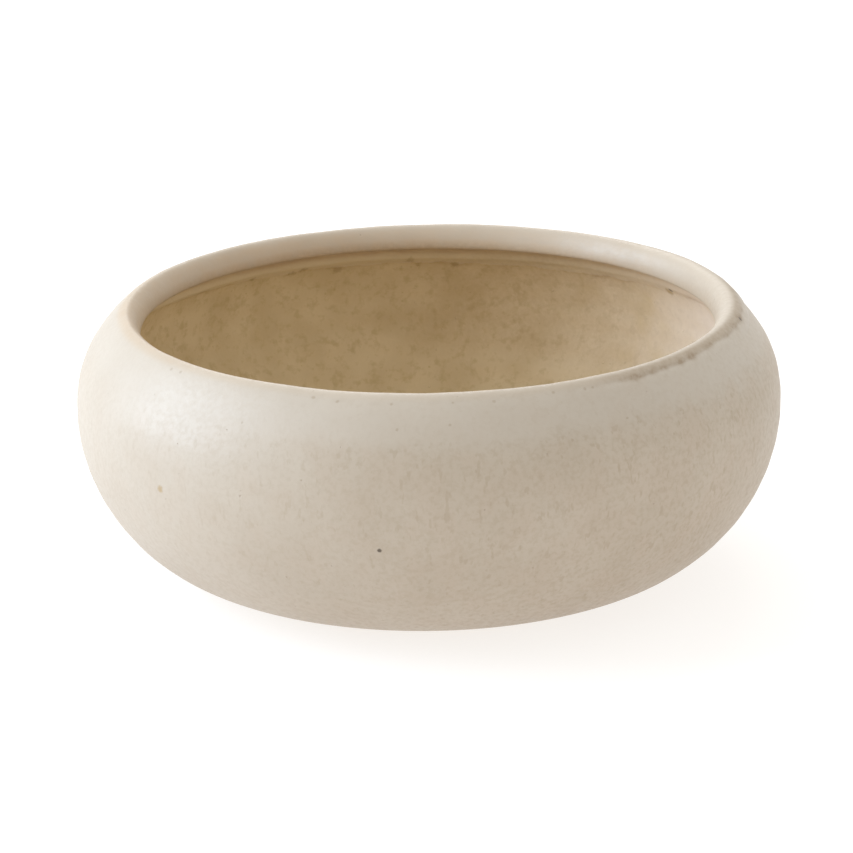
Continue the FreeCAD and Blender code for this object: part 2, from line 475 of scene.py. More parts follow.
# the few marks that stand out: angle round the pot, height, size
FRONT_SPECK = (-98.0, BELLY_HEIGHT - 11.0, 0.75)
EDGE_SPECK = (-10.0, EDGE_LEVEL, 0.95)
WALL_SPECK = (36.0, GLAZE_LINE + 1.0, 1.2)
LEFT_BLEMISH = (-137.0, BELLY_HEIGHT - 3.0, 1.5)
WALL_BLEMISH = (37.0, GLAZE_LINE, 2.0)

# the small marks: seed, how many, and the least and most angle, height and size
EDGE_SPECKS = (3, 10, (-150, -58), (EDGE_LEVEL - 0.4, EDGE_LEVEL + 0.6), (0.5, 0.8))
SHOULDER_SPECKS = (4, 5, (-128, -52), (64, 72), (0.5, 0.55))
LINE_STAINS = (5, 7, (68, 126), (GLAZE_LINE - 1, GLAZE_LINE + 1.5), (1.4, 2.2))
OUTLINE_LUMPS = 1.1


def scattered(seed, count, angles, heights, sizes):
    """Small marks scattered between two angles, two heights and two sizes."""
    random = np.random.default_rng(seed)
    return [tuple(random.uniform(*limits) for limits in (angles, heights, sizes)) for _ in range(count)]


def outside_radius(degrees, height):
    """The pot's radius outside, at one angle and height."""
    if height < BELLY_HEIGHT:
        share = (BELLY_HEIGHT - height) / (BELLY_HEIGHT - FOOT_HEIGHT)
        return BASE_RADIUS + (BELLY_RADIUS - BASE_RADIUS) * (1 - share**LOWER_POWER) ** (1 / LOWER_POWER)
    plain = shoulder_radius(height) if height < CREASE_LEVEL else ridged_radius(height)
    if height < MERGE_START:
        return plain
    share = merge_share(degrees)
    return (1 - share) * plain + share * merged_radius(height)


def inside_radius(degrees, height):
    """The wall's radius inside, which is the same all the way round."""
    return radius_along(inner_wall_points(), height)


def spots(graph, places, radius_at, ragged):
    """A mask of single spots at (angle, height, size) on one face, with ragged outlines."""
    scale = 1 / (OUTLINE_LUMPS * MM)
    jitter = graph.add("TexNoise", {"Vector": graph.place, "Scale": scale, "Detail": 2.0})
    middle = {0: jitter.outputs["Color"], 1: (0.5, 0.5, 0.5)}
    centred = graph.add("VectorMath", middle, operation="SUBTRACT")
    scaled = graph.add("VectorMath", {0: centred.outputs[0], "Scale": ragged * MM}, operation="SCALE")
    shifted = graph.add("VectorMath", {0: graph.place, 1: scaled.outputs[0]}, operation="ADD")
    masks = []
    for degrees, height, size in places:
        turn = math.radians(degrees)
        radius = radius_at(degrees, height)
        center = (radius * math.cos(turn) * MM, radius * math.sin(turn) * MM, height * MM)
        away = graph.add("VectorMath", {0: shifted.outputs[0], 1: center}, operation="DISTANCE")
        masks.append(graph.ramp(away.outputs["Value"], size * MM, SPOT_CORE * size * MM))
    return graph.either(*masks)


def glaze_color(graph, brown):
    """Cream glaze, mottled at three scales, thinner below the shoulder and brown where it breaks. It also
    holds painted light and shade: cooler on the shoulder and the lit left, paler on the inner wall where
    the key light falls, and brown in shade.
    """
    fine = graph.noise(1.5, detail=3.0, roughness=0.6)
    middle = graph.noise(5.0, detail=2.0)
    broad = graph.noise(22.0, detail=2.0)
    mottled = graph.field("mottled")
    patches = graph.ramp(graph.noise(8.0, detail=2.0, place=graph.stretched(0.8)), 0.42, 0.62)
    color = graph.mix(graph.ramp(broad, 0.35, 0.65), CREAM, PALE_CREAM)
    # painted light: cooler, paler cream where the shoulder reflects the sky and where the key light falls
    # on the left
    color = graph.mix(graph.field("shoulder"), color, COOL_LIGHT_CREAM)
    color = graph.tint(color, PINK_CREAM, 0.4, patches, mottled)
    color = graph.tint(color, THIN_CREAM, 0.42, graph.ramp(fine, 0.40, 0.72), mottled)
    color = graph.tint(color, THIN_CREAM, 0.22, graph.ramp(middle, 0.5, 0.8), mottled)
    flecks = graph.noise(1.7, detail=2.0, place=graph.stretched(0.42))
    color = graph.tint(color, THIN_CREAM, 0.5, graph.ramp(flecks, 0.60, 0.70), mottled)
    color = graph.mix(graph.field("thin"), color, VEILED_CLAY)
    # painted light: paler where the key light falls on the inner wall
    color = graph.mix(graph.field("lit_wall_paint"), color, LIT_WALL_PALE)
    cloudy = graph.ramp(graph.noise(6.0, detail=2.0), 0.3, 0.7, 0.7, 1.15)
    # warm stains, and painted shade under the rim
    color = graph.mix(graph.math("MULTIPLY", graph.field("stain_and_shade"), cloudy, clamp=True), color, WARM_STAIN_AND_SHADE)
    # brown where the glaze breaks, and painted shade under the lip, on the rim's right side and low at the
    # front right
    color = graph.tint(color, BREAK_AND_SHADE_BROWN, 0.85, brown)
    pinholes = graph.either(graph.dots(3.4, 0.36, 0.22), graph.dots(6.5, 0.5, 0.25))
    color = graph.tint(color, BREAK_AND_SHADE_BROWN, 0.35, pinholes)
    return color, fine, pinholes


def clay_color(graph, toasted):
    """Bare fired stoneware: tan, cloudy, with dark and sandy grains."""
    cloud = graph.noise(12.0, detail=3.0)
    fine = graph.noise(3.0, detail=3.0, roughness=0.6)
    color = graph.mix(graph.ramp(cloud, 0.3, 0.7), CLAY, PALE_CLAY)
    color = graph.tint(color, DARK_CLAY, 0.55, graph.ramp(fine, 0.46, 0.72))
    dark_grains = graph.dots(2.6, 0.5, 0.2)
    beside = graph.add("Mapping", {0: graph.place, 1: (0.3, 0.1, 0.2)})
    sandy_grains = graph.dots(2.1, 0.45, 0.2, beside.outputs[0])
    color = graph.tint(color, DARK_CLAY, 0.5, dark_grains)
    color = graph.tint(color, PALE_CLAY, 0.35, sandy_grains)
    # painted light: the bare clay inside, paler where the key light falls, in cloudy patches
    color = graph.mix(graph.product(graph.field("lit_wall_paint"), graph.ramp(cloud, 0.1, 0.6)), color, LIT_WALL_PALE)
    color = graph.tint(color, TOASTED, 0.8, toasted)
    return color, fine, sandy_grains


def make_pot_skin():
    """Glaze and bare clay in one material. The field glaze_mm says how far inside the glaze a point is."""
    graph = Graph("pot_skin")
    ragged = graph.math("MULTIPLY_ADD", graph.noise(1.6, detail=3.0), 1.6)
    graph.tree.links.new(graph.field("glaze_mm"), ragged.node.inputs[2])
    glazed = graph.ramp(ragged, 0.45, 1.15)
    breaks = graph.ramp(graph.noise(1.3, detail=3.0, roughness=0.65), 0.25, 0.70, 0.5, 1.0)
    brown = graph.math("MULTIPLY", graph.field("brown"), breaks, clamp=True)
    cream, glaze_fine, pinholes = glaze_color(graph, brown)
    clay, clay_fine, grains = clay_color(graph, brown)
    color = graph.mix(glazed, clay, cream)
    faint_specks = scattered(*EDGE_SPECKS) + scattered(*SHOULDER_SPECKS)
    for places, radius_at, ragged, strength, paint in (
        ([LEFT_BLEMISH], outside_radius, 1.2, 0.7, BLEMISH),
        ([WALL_BLEMISH], inside_radius, 1.2, 0.7, BLEMISH),
        (scattered(*LINE_STAINS), inside_radius, 2.4, 0.5, LINE_BROWN),
        (faint_specks, outside_radius, 0.5, 0.35, BREAK_AND_SHADE_BROWN),
        ([FRONT_SPECK, EDGE_SPECK], outside_radius, 0.6, 0.85, IRON),
        ([WALL_SPECK], inside_radius, 0.6, 0.85, IRON),
    ):
        color = graph.tint(color, paint, strength, spots(graph, places, radius_at, ragged))
    stone = graph.noise(0.9, detail=2.0)
    glaze_rough = graph.ramp(glaze_fine, 0.3, 0.7, 0.42, 0.54)
    clay_rough = graph.ramp(clay_fine, 0.3, 0.7, 0.78, 0.92)
    bare = graph.math("SUBTRACT", 1.0, glazed)
    roughness = graph.math("ADD", graph.product(glazed, glaze_rough), graph.product(bare, clay_rough))
    normal = graph.bump(graph.product(bare, graph.math("ADD", clay_fine, grains)), 0.12)
    normal = graph.bump(graph.product(glazed, glaze_fine), 0.05, normal)
    normal = graph.bump(graph.product(glazed, stone), 0.03, normal)
    normal = graph.bump(graph.math("SUBTRACT", 1.0, graph.product(glazed, pinholes)), 0.10, normal)
    return graph.finish(color, roughness, normal, Specular_IOR_Level=0.5)


def make_bare_clay():
    """The foot ring's unglazed clay, toasted darker where it was left thin."""
    graph = Graph("bare_clay")
    toasted = graph.product(graph.ramp(graph.noise(14.0, detail=2.0), 0.5, 0.75), 0.6)
    color, fine, grains = clay_color(graph, toasted)
    roughness = graph.ramp(fine, 0.3, 0.7, 0.78, 0.92)
    normal = graph.bump(graph.math("ADD", fine, grains), 0.12)
    return graph.finish(color, roughness, normal, Specular_IOR_Level=0.4)


def make_mesh_plastic():
    """Black plastic, dusty in patches."""
    graph = Graph("mesh_plastic")
    dust = graph.ramp(graph.noise(6.0, detail=4.0, roughness=0.65), 0.45, 0.75)
    color = graph.tint(PLASTIC_BLACK, DUST, 0.35, dust)
    roughness = graph.ramp(dust, 0.0, 1.0, 0.42, 0.68)
    normal = graph.bump(graph.noise(0.5, detail=3.0), 0.03)
    return graph.finish(color, roughness, normal, Specular_IOR_Level=0.45)


def make_clip_wire():
    """Bare metal wire, dulled by handling."""
    graph = Graph("clip_wire")
    marks = graph.noise(0.8, detail=4.0, roughness=0.7)
    color = graph.mix(graph.ramp(marks, 0.35, 0.7), DULL_WIRE, BRIGHT_WIRE)
    roughness = graph.ramp(marks, 0.3, 0.7, 0.30, 0.48)
    normal = graph.bump(marks, 0.02)
    return graph.finish(color, roughness, normal, Metallic=1.0)


# --- the bowl ---
def wall_points(base_radius, base_height, belly_radius, shoulder_rise, top_radius):
    """One face of the wall, from the flat of the floor up to the rim."""
    reach = (belly_radius - base_radius, BELLY_HEIGHT - base_height)
    lower = superellipse((base_radius, BELLY_HEIGHT), reach, LOWER_POWER, -90, 0)
    top_angle = shoulder_angle(top_radius, belly_radius)
    reach = (belly_radius, shoulder_rise)
    upper = superellipse((0, BELLY_HEIGHT), reach, SHOULDER_POWER, 0, top_angle)
    return np.concatenate([lower, upper[1:]])


def inner_wall_points():
    """The inside of the wall, from the floor up to the seam under the rim."""
    seam_share = (SEAM_RADIUS / INNER_RADIUS) ** SHOULDER_POWER
    rise = (SEAM_LEVEL - BELLY_HEIGHT) / (1 - seam_share) ** (1 / SHOULDER_POWER)
    return wall_points(FLOOR_RADIUS, FLOOR_TOP, INNER_RADIUS, rise, SEAM_RADIUS)


def radius_along(points, height):
    """The radius of a rising curve at some heights."""
    return np.interp(height, points[:, 1], points[:, 0])


def shoulder_radius(height):
    """The outside radius above the belly, as the frame has it."""
    share = (height - BELLY_HEIGHT) / SHOULDER_RISE
    return BELLY_RADIUS * (1 - share**SHOULDER_POWER) ** (1 / SHOULDER_POWER)


def merged_radius(height):
    """The outside radius where the rim was smoothed into the shoulder, with no crease."""
    start = shoulder_radius(MERGE_START)
    lean = shoulder_radius(MERGE_START + 0.5) - shoulder_radius(MERGE_START - 0.5)
    corners = (
        (start, MERGE_START),
        (start + lean * MERGE_HANDLE, MERGE_START + MERGE_HANDLE),
        (MERGED_TOP_RADIUS + CREST_HANDLE, POT_HEIGHT),
        (MERGED_TOP_RADIUS, POT_HEIGHT),
    )
    return radius_along(bezier(corners), height)


def ridged_radius(height):
    """The rim's outside radius where the crease under it was left."""
    corners = (
        (CREASE_RADIUS, CREASE_LEVEL),
        (CREASE_RADIUS - RIDGE_LEAN, CREASE_LEVEL + RIDGE_HANDLE),
        (RIDGED_TOP_RADIUS + RIDGED_CREST_HANDLE, POT_HEIGHT),
        (RIDGED_TOP_RADIUS, POT_HEIGHT),
    )
    return radius_along(bezier(corners), height)


def merge_share(degrees):
    """How fully the rim is smoothed into the shoulder, at an angle round the pot."""
    away = np.abs(turned_from(degrees, CREASE_SIDE))
    return LEAST_MERGE + (1 - LEAST_MERGE) * smooth_step(away, *CREASE_ENDS)


def seam_move(radius, degrees):
    """How far the smoothing moves the seam's outer end; its inner end stays."""
    share = np.clip((radius - SEAM_RADIUS) / (CREASE_RADIUS - SEAM_RADIUS), 0, 1)
    return share * merge_share(degrees) * (merged_radius(CREASE_LEVEL) - CREASE_RADIUS)


def hole_edges(wide, rounding, count):
    """The rounded edges of a hole through the floor, at its top and under it."""
    top = quarter((wide, FLOOR_TOP - rounding), rounding, 90, count)
    return top, quarter((wide, FOOT_HEIGHT + rounding), rounding, 180, count)


def bowl_section():
    """Round the wall: up outside, over the seam, down inside, across the floor and back under."""
    section = Section()
    outer = wall_points(BASE_RADIUS, FOOT_HEIGHT, BELLY_RADIUS, SHOULDER_RISE, CREASE_RADIUS)
    finer_from = int(np.argmax(outer[:, 1] > MERGE_START - FINE_MARGIN))
    section.add("outer", outer[: finer_from + 1], COARSE)
    section.add("outer", outer[finer_from:], FINE)
    section.add("seam", line((CREASE_RADIUS, CREASE_LEVEL), (SEAM_RADIUS, SEAM_LEVEL)), COARSE)
    inner = inner_wall_points()[::-1]
    fine_end = int(np.argmax(inner[:, 1] < GLAZE_LINE - FINE_DEPTH))
    section.add("inner", inner[: fine_end + 1], FINE)
    section.add("inner", inner[fine_end:], COARSE)
    wide = DRAIN_RADIUS + DRAIN_ROUNDING
    section.add("floor", line((FLOOR_RADIUS, FLOOR_TOP), (wide, FLOOR_TOP)), MEDIUM)
    section.add("drain", np.concatenate(hole_edges(wide, DRAIN_ROUNDING, ARC_POINTS)), FINE)
    section.add("under", line((wide, FOOT_HEIGHT), (BASE_RADIUS, FOOT_HEIGHT)), MEDIUM)
    return section


RIDGE_PITCH = 8.0  # the throwing ridges inside: distance apart, depth, and where they fade out
RIDGE_DEPTH = 0.16
RIDGE_FADE = (62, 52)
SPIRAL_PITCH = 6.5  # the spiral on the floor, likewise
SPIRAL_DEPTH = 0.26
SPIRAL_FADE = (26, 38)
OUTER_LUMPS = ((0.14, 26.0, 1), (0.05, 8.0, 2))  # height, size and seed
LINE_PITCH = 6.4
LINE_DEPTH = 0.035
OUTER_FADE_LOW = (6, 16)
OUTER_FADE_HIGH = (73, 69)
TRIM_RINGS = ((0.07, 2.3), (0.05, 5.1))  # depth and distance apart
TRIM_FADE = (14, 17)


def inner_glaze_line(degrees):
    """Height at which the glaze stops inside: uneven, with short runs and scallops."""
    return GLAZE_LINE + 0.75 * wobble(degrees, (2, 3, 5), 11) + 0.45 * wobble(degrees, (17, 26, 41, 63), 12)


def inner_relief(height, degrees):
    """How far the inner wall stands proud of its curve: joined bead, glaze, throwing ridges."""
    level = BEAD_LEVEL + 0.3 * wobble(degrees, (3, 7, 12), 21)
    bead = BEAD_HEIGHT * (1 + 0.3 * wobble(degrees, (5, 9, 23, 37), 22)) * around(degrees, *BEAD_SHARE)
    relief = bead * bell(height - level, BEAD_WIDTH)
    line_height = inner_glaze_line(degrees)
    relief += GLAZE_THICKNESS * smooth_step(height, line_height - 0.7, line_height + 0.9)
    turns = (height + degrees / 360 * RIDGE_PITCH) / RIDGE_PITCH
    return relief + RIDGE_DEPTH * np.sin(2 * math.pi * turns) * smooth_step(height, *RIDGE_FADE)


def floor_relief(radius, degrees):
    """The spiral that the fingers leave on the floor, faded out under the screen."""
    turns = (radius - degrees / 360 * SPIRAL_PITCH) / SPIRAL_PITCH
    return SPIRAL_DEPTH * np.sin(2 * math.pi * turns) * smooth_step(radius, *SPIRAL_FADE)


def outer_relief(points, height, degrees):
    """Slow unevenness and faint throwing lines on the outside."""
    wavy = height + 1.2 * wobble(degrees, (1, 2, 3), 31)
    lines = LINE_DEPTH * np.sin(2 * math.pi * wavy / LINE_PITCH)
    relief = lumps(points, OUTER_LUMPS) + lines
    return relief * smooth_step(height, *OUTER_FADE_LOW) * smooth_step(height, *OUTER_FADE_HIGH)


def under_relief(radius, degrees):
    """Rings left by the trimming tool, and the thickness of the glaze's edge."""
    rings = sum(depth * np.sin(2 * math.pi * radius / pitch) for depth, pitch in TRIM_RINGS)
    edge = under_glaze_edge(radius, degrees)
    return rings * smooth_step(radius, *TRIM_FADE) + GLAZE_THICKNESS * smooth_step(edge, -0.3, 0.4)


def under_glaze_edge(radius, degrees):
    """How far a point underneath is inside the glazed part."""
    return radius - UNDER_GLAZE_RADIUS - 0.7 * wobble(degrees, (2, 3, 5, 8), 41)


# strengths round the pot: everywhere, how much more at most, at which angle and how wide
SHOULDER_SKY_SHEEN = (0.45, 0.55, -15, 50)  # painted reflection of the sky: the shoulder, which faces up, painted cooler and paler
MOTTLING = (0.25, 0.75, -50, 65)
BEAD_SHARE = (1.0, -0.5, 15, 50)
# glaze pooled just under the rim inside, which is also painted shade under the overhanging lip
POOLED_GLAZE_AND_SHADE = (0.25, 0.75, 112, 70)
FRONT_RISE = (0.0, 0.25, 0, 50)
BACK_DIP = (0.0, 0.40, 105, 45)
# heights where something starts and where it is full
SHOULDER_LEVELS = (61, 71)
CREST_LEVELS = (77.2, 75.8)
POOL_LEVELS = (BEAD_LEVEL + 0.6, SEAM_LEVEL - 1.2)
MOTTLED_LEVELS = (MOTTLED_BELOW + 2.5, MOTTLED_BELOW - 2.5)
# strengths round the pot, as above, and the heights where each starts and where it is full
# painted light: the left side, where the cool key light falls, tinted cooler, more higher up
COOL_KEY_LIGHT_SIDE = (0.0, 0.4, -138, 32, 5, 25)
# painted shade: browner toward the bottom at the front right, away from the light
LOW_RIGHT_SHADE = (0.0, 0.24, -40, 42, 46, 18)
FIRED_CLAY = (0.0, 0.34, 66, 34, 24, 44)
LIT_WALL_LIGHT = (0.0, 0.92, 8, 38, FLOOR_TOP, FLOOR_TOP + 26)  # painted light: the inner wall painted paler where the key light falls on it, at the right, more higher up
# brown on the rim's lower inner slope, partly painted shade under the lip
LIP_STAIN_AND_SHADE = (0.12, 0.78, 112, 62, LIP_LEVEL + 5.0, LIP_LEVEL + 0.6)
LIP_SHADE = (0.0, 0.5, 105, 62, LIP_LEVEL + 2.6, LIP_LEVEL + 0.2)
SLOPE_STAIN = (0.10, 0.45, 130, 65, POT_HEIGHT + 0.4, POT_HEIGHT - 2.0)
FOLD_STAIN = (0.0, 0.45, -168, 36, POT_HEIGHT - 2.0, POT_HEIGHT - 0.2)


def bowl_fields(section, radius, height, degrees):
    """What the bowl's material is told: how far inside the glaze each point is, and its marks."""
    fields = blank_fields(radius.shape, FULLY_GLAZED)
    glaze = fields["glaze_mm"]
    inner, under = section.rows("inner"), section.rows("under")
    glaze[inner] = np.clip((height - inner_glaze_line(degrees))[inner], FULLY_BARE, FULLY_GLAZED)
    glaze[under] = np.clip(under_glaze_edge(radius, degrees)[under], FULLY_BARE, FULLY_GLAZED)
    glaze[section.rows("floor") | section.rows("drain")] = FULLY_BARE
    beside_line = bell(height - inner_glaze_line(degrees) + 0.3, 0.9)
    dashes = smooth_step(wobble(degrees, (13, 21, 34, 55), 51), 0.1, 1.2)
    fired = tinted(degrees, height, *FIRED_CLAY)
    fields["brown"][inner] = (beside_line * (0.03 + 0.35 * dashes) + fired)[inner]
    fields["brown"][under] = (0.8 * bell(under_glaze_edge(radius, degrees), 1.6))[under]
    fields["thin"][inner] = 1
    # painted light: the inner wall paler where the key light falls
    fields["lit_wall_paint"][inner] = tinted(degrees, height, *LIT_WALL_LIGHT)[inner]
    # pooled glaze just under the rim, which is also painted shade under the lip, most at the back
    pooled_and_shaded = 0.85 * smooth_step(height, *POOL_LEVELS)
    fields["stain_and_shade"][inner] = (0.1 + pooled_and_shaded * around(degrees, *POOLED_GLAZE_AND_SHADE))[inner]
    outer = section.rows("outer")
    outside = outer | section.rows("seam")
    # painted shade: browner toward the bottom at the front right
    fields["brown"][outer] = tinted(degrees, height, *LOW_RIGHT_SHADE)[outer]
    rising = smooth_step(height + 1.2 * wobble(degrees, (2, 5, 9), 71), *SHOULDER_LEVELS)
    # painted light: the cool key light on the left side
    cool = tinted(degrees, height, *COOL_KEY_LIGHT_SIDE)
    # painted reflection of the sky on the upper shoulder, and the painted key light on the left
    fields["shoulder"][outside] = np.maximum(around(degrees, *SHOULDER_SKY_SHEEN) * rising, cool)[outside]
    ragged = height + 3.0 * noise_at(grid_points(radius, height, degrees), 7.0, 9)
    fields["mottled"][outside] = mottling(ragged, degrees)[outside]
    return fields


def mottling(height, degrees):
    """How strongly the glaze outside is mottled: most below the shoulder, at the front right."""
    below = 0.3 + 0.7 * smooth_step(height, *MOTTLED_LEVELS)
    return below * around(degrees, *MOTTLING)


CUTTER_REACH = 1.0
CUTTER_SIDES = 40


def tie_hole_cutter(material):
    """The tool that cuts the tie-wire holes: pins that flare at both faces of the floor."""
    wide = TIE_HOLE_RADIUS + TIE_HOLE_ROUNDING
    top, low = hole_edges(wide, TIE_HOLE_ROUNDING, CUTTER_ARC_POINTS)
    outline = [(wide, FLOOR_TOP + CUTTER_REACH), *top, *low, (wide, FOOT_HEIGHT - CUTTER_REACH)]
    vertices, faces = [], []
    for index in range(TIE_HOLE_COUNT):
        turn = 2 * math.pi * index / TIE_HOLE_COUNT
        x, y = TIE_CIRCLE_RADIUS * math.cos(turn), TIE_CIRCLE_RADIUS * math.sin(turn)
        faces += shifted_faces(tube_faces(len(outline), CUTTER_SIDES), len(vertices))
        for radius, height in outline:
            for side in range(CUTTER_SIDES):
                angle = 2 * math.pi * side / CUTTER_SIDES
                vertices.append((x + radius * math.cos(angle), y + radius * math.sin(angle), height))
    cutter = new_object("tie_hole_cutter", vertices, faces, material)
    for field, values in blank_fields(len(vertices), FULLY_BARE).items():
        add_field(cutter, field, values)
    return cutter


def cut(made, cutter):
    """Takes the cutter's space out of an object, and removes the cutter."""
    holes = made.modifiers.new("holes", "BOOLEAN")
    holes.object = cutter
    holes.operation = "DIFFERENCE"
    holes.solver = "EXACT"
    evaluated = made.evaluated_get(bpy.context.evaluated_depsgraph_get())
    mesh = bpy.data.meshes.new_from_object(evaluated)
    made.modifiers.clear()
    made.data = mesh
    bpy.data.objects.remove(cutter)


def make_bowl(skin):
    section = bowl_section()
    radius, height, degrees = section.grid(BOWL_SEGMENTS)
    points = grid_points(radius, height, degrees)
    fields = bowl_fields(section, radius, height, degrees)
    relief = np.zeros(radius.shape)
    outer, inner = section.rows("outer"), section.rows("inner")
    floor, under = section.rows("floor"), section.rows("under")
    relief[outer] = outer_relief(points[outer], height[outer], degrees[outer])
    relief[inner] = inner_relief(height[inner], degrees[inner])
    relief[floor] = floor_relief(radius[floor], degrees[floor])
    relief[under] = under_relief(radius[under], degrees[under])
    normals = section.normals()
    plain = shoulder_radius(np.maximum(height, MERGE_START))
    merged = merge_share(degrees) * (merged_radius(height) - plain)
    smoothed = outer & (section.grid(1)[1][:, 0] > MERGE_START)
    seam = section.rows("seam")
    moved = np.zeros(radius.shape)
    moved[smoothed] = merged[smoothed]
    moved[seam] = seam_move(radius, degrees)[seam]
    radius = radius + relief * normals[:, :1] + moved
    height = height + relief * normals[:, 1:]
    made = turned_object("bowl_body", radius, height, degrees, skin, fields)
    cut(made, tie_hole_cutter(skin))
    return made


# --- the rim ---
def rim_section():
    """Up the rim's outer face, over its top, in under the lip, and back along the seam."""
    section = Section()
    reach = (CREASE_RADIUS - RIM_TOP_RADIUS, POT_HEIGHT - CREASE_LEVEL)
    outer = superellipse((RIM_TOP_RADIUS, CREASE_LEVEL), reach, ELLIPSE_POWER, 0, 90)
    reach = (RIM_TOP_RADIUS - MOUTH_RADIUS, POT_HEIGHT - LIP_LEVEL)
    inner = superellipse((RIM_TOP_RADIUS, LIP_LEVEL), reach, ELLIPSE_POWER, 90, 180)
    lip = quarter((MOUTH_RADIUS + LIP_ROUNDING, LIP_LEVEL), LIP_ROUNDING, 180, LIP_ARC_POINTS)
    section.add("outer", outer, FINE)
    section.add("inner", np.concatenate([inner, lip[1:]]), FINE)
    section.add("under", line((MOUTH_RADIUS + LIP_ROUNDING, SEAM_LEVEL), (SEAM_RADIUS, SEAM_LEVEL)), FINE)
    section.add("seam", line((SEAM_RADIUS, SEAM_LEVEL), (CREASE_RADIUS, CREASE_LEVEL)), COARSE)
    return section


RIM_LUMPS = ((0.16, 21.0, 5), (0.06, 6.0, 6))  # height, size and seed
EDGE_SIDE = -21.0  # the angle round which the rim's edge shows most
EDGE_ENDS = (44.0, 27.0)
GROOVE_DEPTH = 0.16
GROOVE_WIDTH = 0.5
GROOVE_DROP = 0.2
BAND_STRENGTH = 0.52
BAND_RISE = (-0.35, 0.15)
BAND_TOP = (77.8, 77.3)
SMUDGE_SEED = 9
SMUDGE_ANGLES = range(-10, -55, -6)
SMUDGE_SHIFT = 1.5  # degrees that a smudge may lie off its place
SMUDGE_WIDTHS = (1.0, 1.5)
SMUDGE_STRENGTHS = (0.45, 0.9)
EDGE_SPECK_WIDTH = 2.4


def edge_height(degrees):
    """Height of the rim's outer edge, a little uneven."""
    return EDGE_LEVEL + 0.22 * wobble(degrees, (7, 13, 22, 37), 62)


def right_front(degrees):
    """1 where the edge shows most, at the right of the front, and 0 well away from it."""
    return smooth_step(np.abs(turned_from(degrees, EDGE_SIDE)), *EDGE_ENDS)


def rim_break(height, radius, degrees):
    """Where the glaze breaks brown: a band above the rim's outer edge, and smudges along it. The band is
    also painted shade on the rim's right side, which faces away from the light.
    """
    outside = radius > RIM_TOP_RADIUS - 1.0
    above = height - edge_height(degrees)
    # partly painted shade, where the rim's right side faces away from the light
    band = BAND_STRENGTH * right_front(degrees) * smooth_step(above, *BAND_RISE)
    band *= smooth_step(height, *BAND_TOP)
    blots = 0.45 * smooth_step(wobble(degrees, (19, 31, 47, 71, 103), 61), -0.6, 1.0)
    blots *= right_front(degrees) + 0.3 * lobe(degrees, -92, 40) + 0.3 * lobe(degrees, 125, 40)
    random = np.random.default_rng(SMUDGE_SEED)
    for center in SMUDGE_ANGLES:
        place = center + random.uniform(-SMUDGE_SHIFT, SMUDGE_SHIFT)
        width = random.uniform(*SMUDGE_WIDTHS)
        strength = random.uniform(*SMUDGE_STRENGTHS)
        blots = np.maximum(blots, strength * lobe(degrees, place, width))
    blots = np.maximum(blots, lobe(degrees, EDGE_SPECK[0], EDGE_SPECK_WIDTH))
    smudges = blots * bell(above, 0.35 + 0.45 * blots)
    return np.clip((band + smudges) * outside, 0, 1)


def rim_stain_and_shade(height, radius, degrees):
    """Olive brown under the lip, most at the back, which is partly painted shade under the overhang, and a
    warm tint up the slope above it.
    """
    # partly painted shade under the lip
    under_lip = tinted(degrees, height, *LIP_STAIN_AND_SHADE)
    slope = tinted(degrees, height, *SLOPE_STAIN)
    inside = smooth_step(radius, RIM_TOP_RADIUS + 0.5, RIM_TOP_RADIUS - 1.5)
    fold = tinted(degrees, height, *FOLD_STAIN)
    return np.clip(np.maximum(under_lip, slope) * inside + fold, 0, 1)


def edge_groove(height, degrees):
    """The fine groove along the rim's outer edge."""
    groove = bell(height - edge_height(degrees) + GROOVE_DROP, GROOVE_WIDTH)
    return -GROOVE_DEPTH * groove * (0.15 + 0.85 * right_front(degrees))


